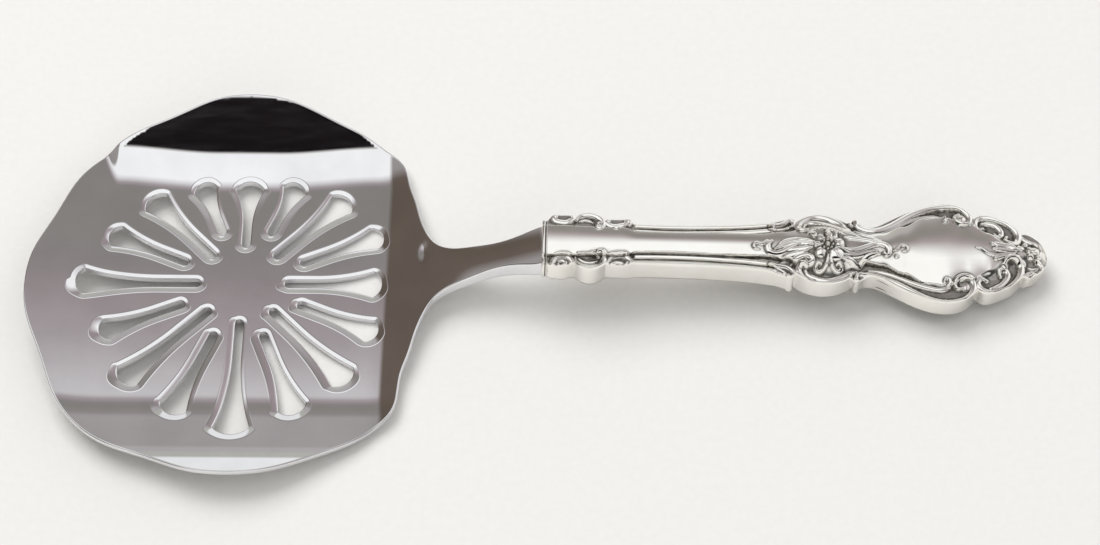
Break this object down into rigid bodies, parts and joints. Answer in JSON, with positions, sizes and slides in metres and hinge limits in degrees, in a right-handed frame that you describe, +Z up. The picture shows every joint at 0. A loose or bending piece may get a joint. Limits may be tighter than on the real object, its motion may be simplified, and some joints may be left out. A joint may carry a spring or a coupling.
{
  "type": "tomato server",
  "caption": "Serving pan with a lobed, folded rim and radiating drain slots, on a raised neck, held in a hollow ornamented handle.",
  "frame": {"origin": "in the middle of the whole server's length and width, on the plane that it rests on", "axes": "+Z up, +X from the pan towards the handle's tip, +Y towards the pan's high back fold"},
  "size_m": [0.1954, 0.082, 0.0173],
  "materials": {
    "blade_steel": "mirror polished stainless steel",
    "handle_silver": "polished silver with darkened recesses",
    "collar_silver": "polished silver",
    "cement": "matt grey brown filler"
  },
  "bodies": {
    "root": {"blade": "blade_steel", "handle_front_shell": "handle_silver", "handle_back_shell": "handle_silver", "collar": "collar_silver", "handle_cement": "cement"}
  },
  "joints": []
}
